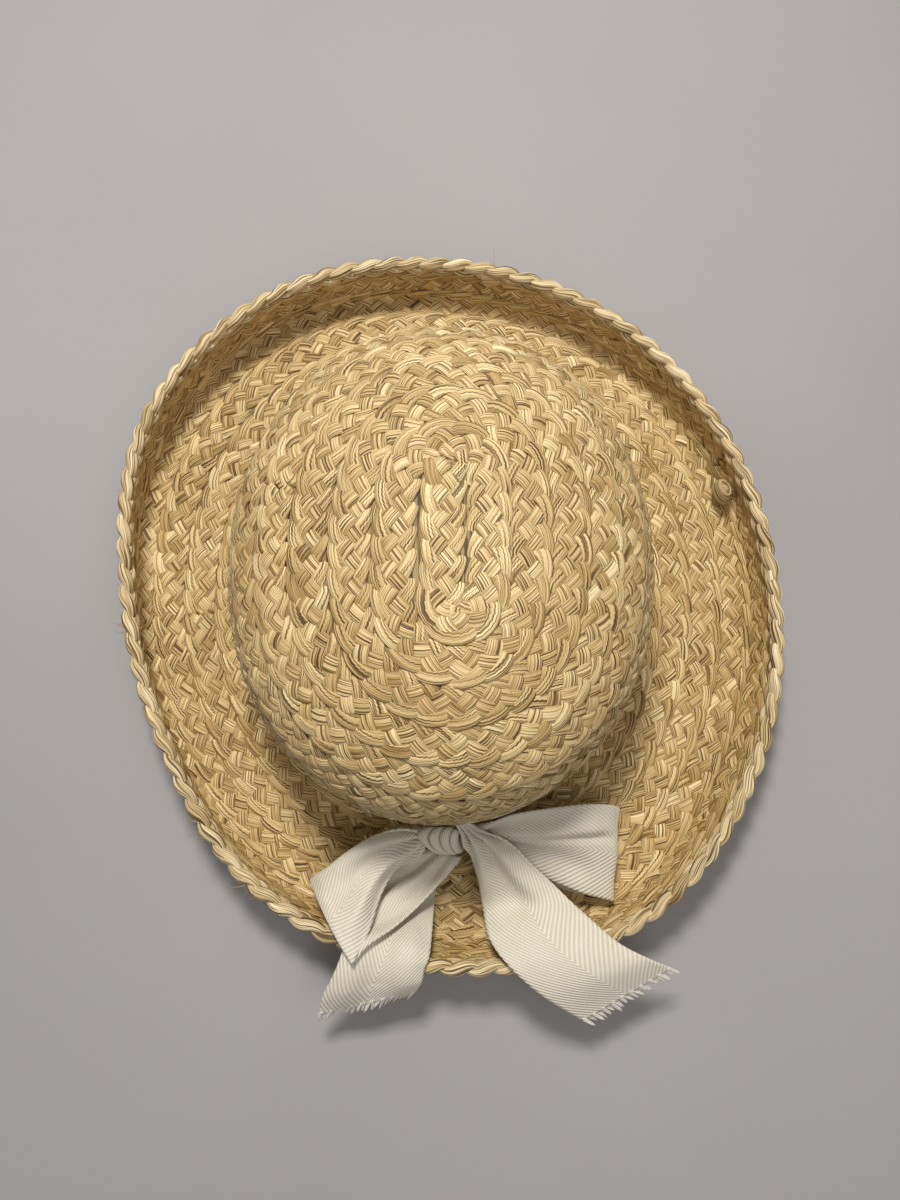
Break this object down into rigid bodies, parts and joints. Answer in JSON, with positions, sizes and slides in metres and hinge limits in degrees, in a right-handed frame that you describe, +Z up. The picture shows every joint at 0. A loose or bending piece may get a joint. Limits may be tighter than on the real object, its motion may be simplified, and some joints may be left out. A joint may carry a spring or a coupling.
{
  "type": "raffia boater hat",
  "caption": "Raffia sun hat sewn from rows of plait: rounded hollow crown, brim turned up all round with a rope-like rim, and a cotton twill ribbon tied in a bow at the front.",
  "frame": {"origin": "middle of the whole hat's box at the height of the surface that the brim rests on", "axes": "+Z up through the crown, -Y towards the bow at the front, +X to the hat's left as it is worn, which is the right of someone who faces the bow"},
  "size_m": [0.313, 0.3606, 0.106],
  "materials": {
    "raffia": "natural raffia plait, matt with a slight sheen along the fibres",
    "raffia_rim": "natural raffia rope plait, pale and frayed",
    "ribbon": "ivory cotton herringbone twill, matt"
  },
  "bodies": {
    "root": {"crown_top": "raffia", "crown_shoulder": "raffia", "crown_side": "raffia", "brim_floor": "raffia", "brim_wall": "raffia", "rim_braid": "raffia_rim", "rim_knot": "raffia_rim", "hat_band": "ribbon", "bow_knot": "ribbon", "left_loop": "ribbon", "right_loop": "ribbon", "left_tail": "ribbon", "right_tail": "ribbon"}
  },
  "joints": []
}
